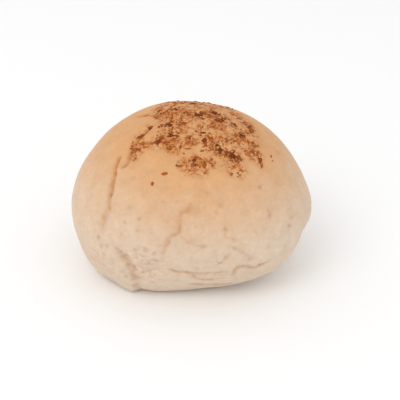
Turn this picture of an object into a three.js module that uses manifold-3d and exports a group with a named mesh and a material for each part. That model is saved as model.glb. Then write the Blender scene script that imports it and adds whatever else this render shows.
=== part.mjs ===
// A soft round bread roll, topped with coarse toasted flakes.
//
// The roll is one solid: a low dome over a belly that curves in to a flat base. A long fold runs down
// its left side, a forked crease down its front and a few wrinkles along its lower edge. Low at the
// front left the skin is torn, and rough crumb shows beside a small flap. The flakes lie in clumps on
// the crown and are part of the solid, as they are baked on.
//
// Millimetres, +Z up, +X to the right and -Y towards the front. The origin is the middle of the base.
// A place on the crust is a direction from the heart of the dough, which lies above the middle of the
// base at the height of the widest line: its azimuth runs from +X towards +Y and its lift is the angle
// above level, both in degrees. Places near the crown are given instead as arc in degrees, east and
// north of the crown.

import * as THREE from "three";
import { ConvexGeometry } from "three/addons/geometries/ConvexGeometry.js";
import { mergeVertices } from "three/addons/utils/BufferGeometryUtils.js";
import Module from "manifold-3d";

// Driving dimensions of the dough, in millimetres.
const HALF_WIDTH = 47.4;
const HALF_DEPTH = 43.2;
const WIDEST_HEIGHT = 22.1;
const CROWN_RISE = 39.15;
const BELLY_DROP = 30.2;

// How far the dough departs from a plain oval.
const PLAN_WAVES = { threeCos: 0.009, threeSin: -0.023, fourCos: -0.031 }; // shares of the plan radius
const CROWN_FULLNESS = -0.029; // below 0 the shoulders are flatter than an oval's
const BELLY_LEAN = -0.105; // the belly is tucked in more at the right than at the left
const WAIST = { lift: -8, spread: 15, depth: 1 }; // shallow band round the side, just under the widest line
const CROWN_SHIFT = { x: -0.7, y: 0.7 };

// Soft swells and hollows: where, how wide in degrees, and how high in millimetres.
const SWELLS = [
  { azimuth: -168, lift: 36, spread: 24, rise: 0.5 }, // the lobe left of the fold
  { azimuth: -128, lift: 44, spread: 9, rise: -0.9 }, // the fold's trough
  { azimuth: -142, lift: -12, spread: 12, rise: 0.4 }, // the cheek beside the tear
  { azimuth: -127, lift: -29, spread: 6, rise: 1 }, // the flap
  { azimuth: -122, lift: -29, spread: 3, rise: 0.9 }, // its tip
  { azimuth: -134, lift: -22, spread: 8, rise: -0.45 },
  { azimuth: -118.7, lift: -30, spread: 2.2, rise: -1.7 }, // the notch beside it
  { azimuth: -154, lift: -12, spread: 10, rise: -0.4 },
  { azimuth: -60, lift: 22, spread: 26, rise: 0.4 },
  { azimuth: -9, lift: 5, spread: 9, rise: 0.8 }, // the right side's fullest place
  { azimuth: -20, lift: -4, spread: 8, rise: -1.2 },
  { azimuth: -54, lift: -21, spread: 10, rise: 0.4 },
  { azimuth: -42, lift: -13, spread: 8, rise: 0.55 },
  { azimuth: -14, lift: -12, spread: 14, rise: -0.5 },
  { azimuth: 12, lift: 22, spread: 12, rise: -0.4 },
  { azimuth: 35, lift: 30, spread: 28, rise: 0.2 },
  { azimuth: 110, lift: 12, spread: 24, rise: 0.3 },
  { azimuth: 166, lift: 27, spread: 12, rise: -0.4 },
  { azimuth: 155, lift: 44, spread: 9, rise: -0.35 },
  { azimuth: 70, lift: 66, spread: 11, rise: -0.35 },
];

// Creases: the line each follows as [azimuth, lift], its depth and half width, and the height of its lips.
const CREASES = {
  foldAtCrown: {
    line: [[-148, 68], [-144.5, 60], [-142, 55.5], [-139, 51], [-137, 47], [-135.6, 43], [-137.2, 38]],
    depth: 1.3, half: 2.1, lip: 0.35,
  },
  foldAtSide: {
    line: [[-144.5, 46], [-139.5, 36.5], [-136, 32], [-133.2, 26], [-131.2, 17], [-132, 13]],
    depth: 1.1, half: 1.4, lip: 0.3,
  },
  crownWrinkle: {
    line: [[164, 56], [171, 62], [178, 67.5], [-172, 70.5], [-166, 73]],
    depth: 0.7, half: 1.3, lip: 0.15,
  },
  frontFork: {
    line: [[-82, 31], [-86, 27.5], [-93, 24.2], [-94.1, 19], [-95.3, 13.9], [-100, 9], [-102, 2], [-102, -5]],
    depth: 0.8, half: 1.5, lip: 0.2,
  },
  tearEdge: {
    line: [[-126, 4], [-120.8, -2], [-118, -9], [-118.3, -18], [-120.8, -29], [-121, -52]],
    depth: 1.4, half: 1.7, lip: 0.4,
  },
  leftBaseWrinkle: {
    line: [[-101, -7.6], [-94.5, -9.5], [-90, -10.2], [-85.8, -14.2], [-83, -18]],
    depth: 0.7, half: 1.3, lip: 0.25,
  },
  rightBaseWrinkle: {
    line: [[-66.5, -15], [-65.2, -8], [-60.5, -5.8], [-56, -7.8], [-52, -5.8], [-45, -3.2]],
    depth: 0.9, half: 1.4, lip: 0.3,
  },
  backWrinkle: {
    line: [[58, -10], [74, -14], [92, -12], [108, -15]],
    depth: 0.7, half: 1.4, lip: 0.25,
  },
};
const CREASE_STEPS = 24;
const CREASE_FADE = 0.2; // share of a crease's length over which it dies out at each end
const CREASE_REACH = 3; // half widths that a crease and its lips take up
const ARC_RADIUS = 43; // millimetres that one radian of direction spans on the crust

// The tear: a shallow recess with a rough floor.
const TEAR = { azimuth: -112.5, lift: -7, spread: 11, depth: 0.5, roughness: 0.35 };
const CRUMB_WAVE = 8; // millimetres from lump to lump

// Clumps of flakes on the crown: arc in degrees east and north of it, half extents in degrees, and how
// many flakes. The largest clumps lie along the crown and at its front right.
const CLUMPS = [
  [0, 11, 6, 4, 8], [-11, 11, 5, 4, 4], [-17, 7, 3, 4, 2], [12, 9, 2, 3, 2], [26, 8, 3, 5, 4],
  [-8, 3, 4, 5, 6], [-16, -1, 3, 5, 5], [4, -5, 5, 3, 8], [-5, -5, 4, 3, 5], [14, -4, 5, 5, 11],
  [-12, -7, 4, 3, 4], [-10, -14, 5, 4, 7], [-4, -13, 3, 3, 3], [-10, -23, 6, 4, 9],
  [-17, -26, 3, 2.5, 2], [-8, -30, 4, 3, 5], [7, -14, 3, 2, 2], [7, -21, 3, 1.5, 2],
  [10, -25, 2.5, 3, 3], [1, -26, 3, 2.5, 3], [15, -13, 3, 3, 4], [15, -26, 4, 2.5, 3],
  [20, -22, 4, 2, 3], [28, -19, 5, 1.5, 4], [16, -30, 4, 2.5, 4], [22.3, -31.6, 5, 2.5, 7],
  [28, -15, 3, 4, 4], [33, -2, 3, 7, 5], [24, -7, 1, 1.5, 1], [34, -23, 3, 5, 5],
  [39, -27.5, 1, 3.5, 2], [-30.5, -27, 1.2, 4, 5], [-24, -26, 3, 1.5, 3],
  [-3, -39.5, 3.5, 2, 2], [3.5, -39, 3.5, 3, 3], [10.5, -38.5, 3.5, 2, 2], [4, -43, 6, 2, 2],
  [26, -39, 4, 3, 2], [3, 22, 8, 5, 8], [-12, 20, 6, 5, 5], [17, 18, 6, 4, 6],
];
const CLUMP_EDGE = 1.2; // half extents from the middle of a clump to its last flakes
const FLAKE_LENGTH = { shortest: 1.1, longest: 3.2 };
const FLAKE_WIDTH = { slimmest: 0.35, widest: 0.75 }; // shares of the length

// The flakes that show most: arc in degrees east and north, length, width, and turn in degrees.
const LONE_FLAKES = [
  [-13.7, -44.6, 3.6, 1.9, -8], [-21, -49, 1.5, 1.3, 40], [38.8, -27, 3.8, 1.6, 97],
  [45.4, -19.5, 1.7, 0.8, 80], [46, -22.5, 1.2, 0.7, 60], [23.6, -41.8, 1.6, 1.1, 60],
  [-27, -18.6, 4.2, 1.7, 25], [-21.6, -13.3, 3, 1.3, 15], [-5.2, -40.9, 3.2, 1.1, 5],
  [-1, -30.9, 2.9, 0.7, 0], [12.4, -38.6, 1.8, 0.9, -15], [23.6, -31.2, 3.8, 2.4, -20],
  [17, -29.6, 3, 1.5, 10], [15, -29.8, 1.8, 1.1, 0], [20.5, -30, 2.6, 1.6, 20],
  [25.8, -31.8, 2, 1.3, -30], [8, -24.8, 2.8, 2.3, 80], [14.8, -27.2, 2.4, 1.2, 60],
  [7, -20, 2.6, 1, 0], [7, -31.5, 1.9, 1.4, 20], [0, -24.2, 1.6, 1.1, 90], [-10, -22.6, 2.3, 1.4, 20],
  [-17, -26, 3.2, 1.6, 25], [-14.6, -23.6, 2.2, 1.2, 40], [-9, -27, 1.8, 1.1, 100],
  [2.7, -37.4, 1.9, 1.3, 0], [3.8, -40, 2.2, 1.1, -20], [-11, -14.3, 2.8, 1.6, -20],
  [-9.5, -17.5, 2, 1, 90], [13.5, -0.3, 3.6, 1.8, 15], [16.5, -7.8, 2.6, 1.5, -40],
  [4.5, -5.5, 3, 1.8, 0], [24, -6.5, 1.8, 1.1, 70], [33, -2, 4, 1.4, 80], [28, -14.8, 2.4, 1.8, 20],
  [-29.6, -27, 2.4, 1, 75], [-25, -25.2, 1.8, 1, 60], [-20.6, -26, 1.7, 0.8, 10], [1, 10.8, 3, 1.6, 0],
  [-8.5, 1.5, 2.6, 1.5, 90], [1.5, -40.5, 1.8, 1, 60], [10.7, -37.5, 1.9, 1.2, 20],
  [-3, -38.7, 1.6, 1, 40], [0.4, -43.5, 1.6, 1.1, 0], [9, -44.1, 1.6, 1.1, 70],
  [24.5, -37.5, 1.7, 1, 30], [28.6, -38.6, 1.9, 0.9, 10], [27, -40.3, 1.6, 1, 80],
  [39.8, -30.2, 2.4, 1.1, 100], [-26.2, -24.4, 2.4, 1.3, 30], [-17.2, -24.8, 2.2, 1.5, 10],
  [-21.4, -15, 2.4, 0.9, 20],
];
const FLAKE_THICKNESS = 0.9;
const FLAKE_TILT = 0.2; // radians from one steepest tilt to the other
const FLAKE_PROUD = -0.12; // how far a flake's middle lies above the crust
const FLAKE_UNEVENNESS = 0.3;
const FLAKE_SIDES = 6;
const FLAKE_CORNERS = FLAKE_SIDES + 2; // those of its rim, and one above and below
const FLAKE_SEED = 7;

// Directions that the dough's corners lie in: this many for the whole sphere, and more of them at a crease.
const DOUGH_CORNERS = 2000;
const FINER_AT_CREASES = 3;
const FINER_AT_BASE = 3; // height in millimetres of the band that is finer round the base
const FINER_AT_TEAR = 0.5; // share of the tear above which it is finer too
const BASE_CUTTER = 160; // edge of the block that cuts the base flat
const WELD = 1e-4; // millimetres within which corners are one
const CRUST_COLOUR = 0xe3bb90;

const radians = THREE.MathUtils.degToRad;
const bell = (x) => Math.exp(-x * x);
const smooth = (x) => THREE.MathUtils.smoothstep(x, 0, 1);

// The unit vector of a direction given by its azimuth and lift in degrees.
function direction(azimuth, lift) {
  return new THREE.Vector3(
    Math.cos(radians(lift)) * Math.cos(radians(azimuth)),
    Math.cos(radians(lift)) * Math.sin(radians(azimuth)),
    Math.sin(radians(lift)),
  );
}

// Distance from the heart to the plain dough: an oval in plan, its radius waved a little, and an oval
// in height, with fuller or flatter shoulders and a shallow waist.
function doughRadius(toward) {
  const azimuth = Math.atan2(toward.y, toward.x);
  const level = Math.hypot(toward.x, toward.y);
  const lift = Math.atan2(toward.z, level);
  const waves =
    1 +
    PLAN_WAVES.threeCos * Math.cos(3 * azimuth) +
    PLAN_WAVES.threeSin * Math.sin(3 * azimuth) +
    PLAN_WAVES.fourCos * Math.cos(4 * azimuth);
  const plan = waves / Math.hypot(Math.cos(azimuth) / HALF_WIDTH, Math.sin(azimuth) / HALF_DEPTH);
  const rise = toward.z >= 0 ? CROWN_RISE : BELLY_DROP;
  const fullness = toward.z >= 0 ? CROWN_FULLNESS : BELLY_LEAN * Math.cos(azimuth);
  const oval = 1 / Math.hypot(level / plan, toward.z / rise);
  const waist = bell((lift - radians(WAIST.lift)) / radians(WAIST.spread));
  return oval * (1 + fullness * Math.sin(2 * lift) ** 2) - WAIST.depth * waist;
}

// The rise of the soft swells at a direction.
function swellRise(toward) {
  return SWELLS.reduce((sum, { azimuth, lift, spread, rise }) => {
    const apart = toward.angleTo(direction(azimuth, lift));
    return sum + rise * bell(apart / radians(spread));
  }, 0);
}

// Each crease as the points of a smooth curve over the crust, ARC_RADIUS from the heart.
const creaseCurves = Object.values(CREASES).map(({ line, ...section }) => {
  const knots = line.map(([azimuth, lift]) => direction(azimuth, lift).multiplyScalar(ARC_RADIUS));
  return { ...section, points: new THREE.CatmullRomCurve3(knots).getPoints(CREASE_STEPS) };
});

// How far a direction lies from a crease's curve, in millimetres, and how far along the curve, from 0 to 1.
function placeByCrease(toward, points) {
  const place = toward.clone().multiplyScalar(ARC_RADIUS);
  const piece = new THREE.Line3();
  const nearest = new THREE.Vector3();
  let away = Infinity;
  let along = 0;
  for (let i = 0; i < CREASE_STEPS; i++) {
    piece.set(points[i], points[i + 1]);
    const share = piece.closestPointToPointParameter(place, true);
    const gap = piece.at(share, nearest).distanceTo(place);
    if (gap < away) {
      away = gap;
      along = (i + share) / CREASE_STEPS;
    }
  }
  return { away, along };
}

// The rise at a direction that the creases make: a groove with a low lip on each side.
function creaseRise(toward) {
  return creaseCurves.reduce((sum, { points, depth, half, lip }) => {
    const { away, along } = placeByCrease(toward, points);
    const fade = smooth(along / CREASE_FADE) * smooth((1 - along) / CREASE_FADE);
    return sum + fade * (lip * bell(away / half - 2) - depth * bell(away / half));
  }, 0);
}

// How much of the tear a direction is in, from 1 well inside it to 0 outside.
function tearShare(toward) {
  const apart = toward.angleTo(direction(TEAR.azimuth, TEAR.lift));
  return bell((apart / radians(TEAR.spread)) ** 2);
}

// The rise of the tear: a recess with a floor of crumb lumps.
function tearRise(toward) {
  const place = toward.clone().multiplyScalar((ARC_RADIUS * 2 * Math.PI) / CRUMB_WAVE);
  const lumps =
    Math.sin(place.x + 1.3 * Math.sin(0.8 * place.z)) * Math.sin(1.1 * place.z + 0.7) +
    0.6 * Math.sin(1.7 * place.x - 0.9 * place.z) * Math.cos(1.5 * place.z + 1.1 * place.y);
  return tearShare(toward) * (TEAR.roughness * lumps - TEAR.depth);
}

// The place on the crust in a direction, with all of its relief. Above the widest line the dough leans
// a little, by the square of its height.
function crustPoint(toward) {
  const reach = doughRadius(toward) + swellRise(toward) + creaseRise(toward) + tearRise(toward);
  const place = toward.clone().multiplyScalar(reach);
  const lean = (Math.max(place.z, 0) / CROWN_RISE) ** 2;
  return place.add(new THREE.Vector3(CROWN_SHIFT.x * lean, CROWN_SHIFT.y * lean, WIDEST_HEIGHT));
}

// The place on the crust a given arc in degrees east and north of the crown.
function crownPoint(east, north) {
  const azimuth = THREE.MathUtils.radToDeg(Math.atan2(north, east));
  return crustPoint(direction(azimuth, 90 - Math.hypot(east, north)));
}

// A geometry with its corners' places alone.
const bareOf = (geometry) => geometry.clone().deleteAttribute("normal").deleteAttribute("uv");

// A closed geometry whose corners are shared, as a manifold-3d solid.
function solidOf(wasm, geometry) {
  const merged = mergeVertices(bareOf(geometry), WELD);
  const triVerts = new Uint32Array(merged.index.array);
  const vertProperties = merged.attributes.position.array;
  return new wasm.Manifold(new wasm.Mesh({ numProp: 3, vertProperties, triVerts }));
}

// A manifold-3d solid back as a geometry.
function geometryOf(solid) {
  const mesh = solid.getMesh();
  return new THREE.BufferGeometry()
    .setAttribute("position", new THREE.BufferAttribute(mesh.vertProperties, mesh.numProp))
    .setIndex(new THREE.BufferAttribute(mesh.triVerts, 1));
}

// Directions spread evenly over the whole sphere, along a spiral that turns by the golden angle.
function spreadDirections(count) {
  const goldenAngle = Math.PI * (3 - Math.sqrt(5));
  return Array.from({ length: count }, (_, i) => {
    const height = 1 - (2 * i + 1) / count;
    const level = Math.sqrt(1 - height ** 2);
    return new THREE.Vector3(level * Math.cos(goldenAngle * i), level * Math.sin(goldenAngle * i), height);
  });
}

// Whether a direction lies in the tear, at the edge of the base, or within a crease or its lips.
function hasFineRelief(toward) {
  const atCrease = ({ points, half }) => placeByCrease(toward, points).away < CREASE_REACH * half;
  const atBase = Math.abs(crustPoint(toward).z) < FINER_AT_BASE;
  return atBase || tearShare(toward) > FINER_AT_TEAR || creaseCurves.some(atCrease);
}

// The dough: a ball of directions, closer together where the relief is fine, pushed out to the crust and
// cut off flat at the base.
function makeDough(wasm) {
  const coarse = spreadDirections(DOUGH_CORNERS).filter((toward) => !hasFineRelief(toward));
  const fine = spreadDirections(DOUGH_CORNERS * FINER_AT_CREASES).filter(hasFineRelief);
  const ball = new ConvexGeometry([...coarse, ...fine]);
  const corners = ball.attributes.position;
  const toward = new THREE.Vector3();
  for (let i = 0; i < corners.count; i++) {
    const place = crustPoint(toward.fromBufferAttribute(corners, i).normalize());
    corners.setXYZ(i, place.x, place.y, place.z);
  }
  const below = new THREE.BoxGeometry(BASE_CUTTER, BASE_CUTTER, BASE_CUTTER);
  below.translate(0, 0, -BASE_CUTTER / 2);
  return solidOf(wasm, ball).subtract(solidOf(wasm, below));
}

// A draw between 0 and 1 that depends only on a flake's number and on which of its draws it is.
function drawFor(flake, which) {
  const value = 43758.5453 * Math.sin(12.9898 * flake + 78.233 * which + FLAKE_SEED);
  return value - Math.floor(value);
}

// A value between two limits, at a share of the way from one to the other.
const between = (low, high, share) => low + (high - low) * share;

// The draws of a flake after those of its corners.
function drawsFor(flake) {
  const [long, wide, nod, lean, turn, way, out] = Array.from({ length: 7 }, (_, i) =>
    drawFor(flake, FLAKE_CORNERS + i),
  );
  return { long, wide, nod, lean, turn, way, out };
}

// A flake of a clump, laid out like those of LONE_FLAKES. The root of the draw makes a clump as thick at
// its edge as in the middle.
function flakeInClump([clumpEast, clumpNorth, halfEast, halfNorth], flake) {
  const { long, wide, turn, way, out } = drawsFor(flake);
  const apart = CLUMP_EDGE * Math.sqrt(out);
  const east = clumpEast + halfEast * apart * Math.cos(2 * Math.PI * way);
  const north = clumpNorth + halfNorth * apart * Math.sin(2 * Math.PI * way);
  const length = between(FLAKE_LENGTH.shortest, FLAKE_LENGTH.longest, long ** 2);
  const width = length * between(FLAKE_WIDTH.slimmest, FLAKE_WIDTH.widest, wide);
  return [east, north, length, width, 360 * turn];
}

// A flake: an uneven chip that lies on the crust, turned and tilted a little, and half sunk in it.
function makeFlake(wasm, [east, north, length, width, turn], flake) {
  const chip = mergeVertices(bareOf(new THREE.SphereGeometry(1, FLAKE_SIDES, 2)), WELD);
  chip.rotateX(Math.PI / 2);
  const corners = chip.attributes.position;
  for (let i = 0; i < FLAKE_CORNERS; i++) {
    const swell = between(1 - FLAKE_UNEVENNESS, 1 + FLAKE_UNEVENNESS, drawFor(flake, i));
    corners.setXYZ(i, corners.getX(i) * swell, corners.getY(i) * swell, corners.getZ(i) * swell);
  }
  const { nod, lean } = drawsFor(flake);
  chip.scale(length / 2, width / 2, FLAKE_THICKNESS / 2);
  chip.rotateX(FLAKE_TILT * (nod - 0.5));
  chip.rotateY(FLAKE_TILT * (lean - 0.5));
  chip.rotateZ(radians(turn));

  const seat = crownPoint(east, north);
  const eastward = crownPoint(east + 1, north).sub(seat).normalize();
  const upward = eastward.clone().cross(crownPoint(east, north + 1).sub(seat)).normalize();
  const northward = upward.clone().cross(eastward);
  chip.applyMatrix4(new THREE.Matrix4().makeBasis(eastward, northward, upward));
  seat.addScaledVector(upward, FLAKE_PROUD);
  return solidOf(wasm, chip.translate(seat.x, seat.y, seat.z));
}

// Every flake, clump by clump, and then those that show most.
function makeFlakes(wasm) {
  const clumpOfEach = CLUMPS.flatMap((clump) => {
    const count = clump.at(-1);
    return Array(count).fill(clump);
  });
  const flakes = [...clumpOfEach.map(flakeInClump), ...LONE_FLAKES];
  return flakes.map((flake, number) => makeFlake(wasm, flake, number));
}

// The baked roll: the dough with its flakes fused on. Gaps sealed under a flake are filled.
function makeRoll(wasm) {
  const baked = wasm.Manifold.union([makeDough(wasm), ...makeFlakes(wasm)]);
  return baked.decompose().reduce((best, body) => (body.volume() > best.volume() ? body : best));
}

const wasm = await Module();
wasm.setup();

const geometry = geometryOf(makeRoll(wasm));
geometry.computeVertexNormals();
geometry.computeBoundingBox();
const middle = geometry.boundingBox.getCenter(new THREE.Vector3());

const crust = new THREE.MeshStandardMaterial({ color: CRUST_COLOUR, roughness: 0.85, metalness: 0 });
const roll = new THREE.Mesh(geometry, crust);
roll.name = "roll";
roll.position.set(-middle.x, -middle.y, 0);

const part = new THREE.Group();
part.add(roll);

export default part;
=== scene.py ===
"""The looks of a soft round bread roll, topped with coarse toasted flakes.

A Blender 4.5 script laid out as an add-on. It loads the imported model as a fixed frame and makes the
crust, flakes, crumbs and pale grains as surfaces worked out with numpy, in metres.

A place on the crust is a direction from the heart of the dough, above the middle of the base at the
height of the widest line: azimuth from +X towards +Y, and lift above level, in degrees. Near the crown it
is arc in degrees, east and north. Relief and topping are in millimetres, which MM turns into metres.
"""

import math
from collections import namedtuple

import bpy
import numpy as np
from mathutils import Matrix, Vector


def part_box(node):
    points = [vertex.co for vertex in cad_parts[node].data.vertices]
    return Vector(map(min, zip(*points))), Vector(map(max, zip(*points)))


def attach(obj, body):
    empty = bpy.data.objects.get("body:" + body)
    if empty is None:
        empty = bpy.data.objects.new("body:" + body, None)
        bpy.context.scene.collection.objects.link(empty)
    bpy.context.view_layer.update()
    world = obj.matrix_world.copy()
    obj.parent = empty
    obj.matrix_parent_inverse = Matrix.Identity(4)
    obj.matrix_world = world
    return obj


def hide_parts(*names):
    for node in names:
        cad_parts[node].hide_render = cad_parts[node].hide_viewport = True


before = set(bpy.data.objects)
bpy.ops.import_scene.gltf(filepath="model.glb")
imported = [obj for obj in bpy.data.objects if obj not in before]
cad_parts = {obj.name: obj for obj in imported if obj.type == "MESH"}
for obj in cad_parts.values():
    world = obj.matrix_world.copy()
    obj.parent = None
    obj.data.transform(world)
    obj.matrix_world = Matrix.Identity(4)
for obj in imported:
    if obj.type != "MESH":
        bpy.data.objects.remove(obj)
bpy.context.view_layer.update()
roll_low, roll_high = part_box("roll")
roll_size = roll_high - roll_low

bl_info = {
    "name": "Bread roll",
    "version": (1, 0, 0),
    "blender": (4, 5, 0),
    "location": "3D View > Sidebar > Bread roll",
    "description": "Makes a soft bread roll with a toasted topping",
    "category": "Add Mesh",
}

MM = 0.001

# The dough's sizes as shares of the roll's width, depth and height.
HALF_WIDTH = 0.5190
HALF_DEPTH = 0.5212
WIDEST_HEIGHT = 0.3591
CROWN_RISE = 0.6361
BELLY_DROP = 0.4907

# How far the dough departs from a plain oval. The waves in plan have a number of lobes and a rise. The
# waist's depth, the crown's shift and the base's rounding are in millimetres.
PLAN_WAVES = ((3, np.cos, 0.009), (3, np.sin, -0.023), (4, np.cos, -0.031))
CROWN_FULLNESS = -0.029
BELLY_LEAN = -0.105
WAIST = {"lift": -8, "spread": 15, "depth": 1.0}
CROWN_SHIFT = (-0.7, 0.7)
BASE_ROUNDING = 1.2

# The radius of the ball on which arcs count as millimetres.
ARC_RADIUS = 43.0

# Soft swells and hollows: azimuth, lift, spread in degrees, rise.
SWELLS = [
    (-168, 36, 24, 0.5), (-128, 44, 9, -0.9), (-142, -12, 12, 0.4), (-127, -29, 6, 1),
    (-122, -29, 3, 0.9), (-134, -22, 8, -0.45), (-118.7, -30, 2.2, -1.7), (-154, -12, 10, -0.4),
    (-60, 22, 26, 0.4), (-9, 5, 9, 0.8), (-20, -4, 8, -1.2), (-54, -21, 10, 0.4), (-42, -13, 8, 0.55),
    (-14, -12, 14, -0.5), (12, 22, 12, -0.4), (35, 30, 28, 0.2), (110, 12, 24, 0.3), (166, 27, 12, -0.4),
    (155, 44, 9, -0.35), (70, 66, 11, -0.35),
]

# Creases, each drawn from its upper end down, seen from outside: its knots, the depth and half widths of
# the groove, the depth and half widths of the broad hollow it lies in, the height of its right edge, how
# brown it is, and how far the brown spreads. Half widths and spreads are to the left and to the right.
Crease = namedtuple("Crease", "line depth half trough lip tone flush")
CREASES = [
    # The left fold: at the crown, at its foot, down the side, and its tail.
    Crease([(-148, 68), (-146.5, 64), (-144.5, 60), (-142.5, 55.5), (-140.6, 51), (-138.6, 47.5),
            (-137, 44.5), (-136.2, 42.3), (-136, 40.8), (-136.6, 39.3), (-138, 38)],
           0.32, (0.75, 0.5), (0.1, 1.8, 1), 0.2, 0.74, (1.1, 1)),
    Crease([(-139, 48.6), (-138, 46.6), (-137.2, 44.8), (-136.7, 43.2), (-136.2, 41.6), (-136.2, 40.2),
            (-137.2, 38.8), (-138.4, 37.8)], 0.16, (0.7, 0.5), (0.05, 1.2, 0.9), 0.1, 0.8, (0.9, 0.9)),
    Crease([(-144.5, 46), (-142.5, 41), (-139.5, 36.5), (-136, 32), (-133.2, 26), (-131.8, 20)],
           0.22, (0.7, 0.45), (0.1, 1.5, 0.8), 0.18, 0.54, (1.2, 0.6)),
    Crease([(-133, 25), (-131.8, 21), (-131.2, 17), (-132, 13), (-131.5, 9.5), (-131.6, 6.5)],
           0.16, (0.8, 0.6), (0.08, 1.8, 1), 0.06, 0.4, (1.6, 0.9)),
    # A wrinkle across the crown.
    Crease([(164, 56), (171, 62), (178, 67.5), (-172, 70.5), (-166, 73)],
           0.5, (0.6, 0.6), (0.2, 1.6, 1.6), 0.1, 0.85, (0.8, 0.8)),
    # The fork on the front.
    Crease([(-82, 31), (-83.5, 29), (-86, 27.5), (-90.5, 25.4), (-93, 24.2), (-94, 22), (-94.1, 19),
            (-94.3, 16), (-95.3, 13.9), (-98.3, 12), (-100, 9), (-101, 5.5), (-102, 2), (-102.3, -2),
            (-102, -5)], 0.32, (0.8, 0.5), (0.22, 1.8, 1), 0.15, 0.26, (1.5, 0.7)),
    # The edge of the tear, and that of the flap below it.
    Crease([(-126, 4), (-123.5, 1.8), (-122, 0), (-120.8, -2), (-119.8, -4), (-119.8, -7), (-118, -9),
            (-118.3, -13), (-118.3, -18), (-119.4, -22.5)],
           0.36, (0.55, 0.8), (0.28, 0.9, 2.6), 0.04, 0.2, (0.9, 1.5)),
    Crease([(-118.4, -18), (-119.4, -22.5), (-120.6, -28), (-121, -38), (-121, -52)],
           0.36, (0.6, 0.8), (0.3, 0.9, 2.6), 0.08, 0.06, (0.8, 1.5)),
    # Wrinkles along the base at the left and right, and three lines between them.
    Crease([(-101, -7.6), (-98.5, -8.2), (-94.5, -9.5), (-90, -10.2), (-87.5, -11.5), (-85.8, -14.2),
            (-83, -18)], 0.42, (0.5, 0.5), (0.22, 1.2, 1.2), 0.15, 0.28, (0.8, 0.8)),
    Crease([(-66.5, -15), (-65.5, -11.5), (-65.2, -8), (-63.5, -5.8), (-60.5, -5.8), (-58, -7.2),
            (-56, -7.8), (-53.5, -6.3), (-50, -5.2), (-45, -3.2)],
           0.42, (0.6, 0.5), (0.22, 1.4, 1.2), 0.15, 0.34, (0.8, 1)),
    Crease([(-90, -9.3), (-84, -10.6), (-76, -10.2), (-71, -9.4), (-66, -10)],
           0.2, (0.5, 0.5), (0.12, 1.2, 1.2), 0.08, 0.2, (0.8, 0.8)),
    Crease([(-90, -12), (-85, -15.2), (-79.5, -16.5), (-73, -15.5), (-66, -14.5)],
           0.25, (0.5, 0.5), (0.15, 1.2, 1.2), 0.08, 0.26, (0.9, 0.9)),
    Crease([(-90, -20), (-84, -22), (-76, -22.6), (-68, -22.5), (-60, -20.5)],
           0.25, (0.5, 0.5), (0.15, 1.2, 1.2), 0.08, 0.34, (1.2, 1.2)),
    # The upper end of the left fold.
    Crease([(-158, 76), (-152, 74.5), (-149.5, 71.5), (-148, 68), (-147, 64)],
           0.2, (0.6, 0.6), (0.1, 1.2, 1.2), 0.06, 0.3, (0.9, 0.7)),
    # A fork and a wrinkle on the right, and one wrinkle each on the left and the back.
    Crease([(33, 30), (32, 26), (29, 23.5), (27.5, 19), (28.5, 15), (26, 11.5), (24.5, 7)],
           0.26, (0.7, 0.5), (0.18, 1.8, 1), 0.12, 0.24, (1.3, 0.7)),
    Crease([(14, -12.5), (20, -11.5), (27, -13.5), (34, -12.5), (40, -14.5), (47, -14)],
           0.38, (0.5, 0.5), (0.2, 1.3, 1.3), 0.12, 0.28, (0.8, 0.8)),
    Crease([(122, -11), (129, -13.5), (137, -13), (145, -15.5), (152, -15)],
           0.34, (0.5, 0.5), (0.2, 1.3, 1.3), 0.12, 0.26, (0.8, 0.8)),
    Crease([(58, -10), (66, -12.5), (74, -14), (84, -12), (92, -12), (108, -15)],
           0.55, (0.6, 0.6), (0.3, 1.6, 1.6), 0.1, 0.36, (0.6, 0.6)),
]

# Short faint wrinkles, which share one section.
CREASES += [
    Crease(line, 0.2, (0.45, 0.45), (0.1, 1.6, 1.6), 0.08, 0.12, (0.8, 0.8))
    for line in [
        [(-96.5, 13.8), (-92, 11), (-87, 8.4), (-82, 6.8), (-77, 6.6)],
        [(-73, 21), (-71, 18.5), (-70.6, 15.5), (-71.6, 13), (-69.5, 11), (-66.5, 10)],
        [(-71, 7), (-67.5, 6.2), (-64.8, 5), (-62, 2.5), (-59, -0.5), (-54, -2)],
        [(-77, -4.5), (-73.8, -3.2), (-71.2, -0.5), (-69.5, 2.5), (-67, 5)],
        [(-49, 22), (-47.5, 19.5), (-48, 17), (-47, 14)],
        [(-64, 23.2), (-60, 22.4), (-56, 22.4), (-52, 21)],
        [(150, -4), (144, -8), (136, -9), (130, -7)],
        [(30, -2), (24, -5), (16, -6)],
        [(-24, -16), (-18, -18), (-10, -17)],
        [(178, -10), (170, -13), (160, -12)],
        [(22, -18), (30, -19.5), (39, -19), (47, -20.5)],
        [(52, 10), (54, 6.5), (53, 3), (56, 0)],
        [(104, 30), (102.5, 26), (100, 23), (101, 19)],
        [(114, 3), (110, 0.5), (106, -1), (101, -0.5)],
        [(70, -20), (79, -21.5), (88, -20.5), (97, -22)],
        [(152, 16), (154, 12.5), (152.5, 9), (155, 6)],
    ]
]

# Steps on each span of a crease; the share of its length over which it fades at each end, and its width
# there; its reach in degrees; its lip's place in half widths; and the range of its patches of brown.
CREASE_STEPS = 6
CREASE_FADE = 0.2
CREASE_TAPER = 0.6
CREASE_REACH = 12
LIP_PLACE = 2.2
BROWN_RANGE = (0.5, 1.3)

# The tear: a shallow recess with a rough floor of crumb, which also shows in a spot beside it, given as
# azimuth, lift, spread in degrees and strength. The wave of the crumb is in millimetres.
TEAR = {"azimuth": -112.5, "lift": -7, "spread": 11, "depth": 0.5, "roughness": 0.18}
TEAR_SIDE = (-131, -6, 10, 0.5)
CRUMB_WAVE = 8.0

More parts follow.
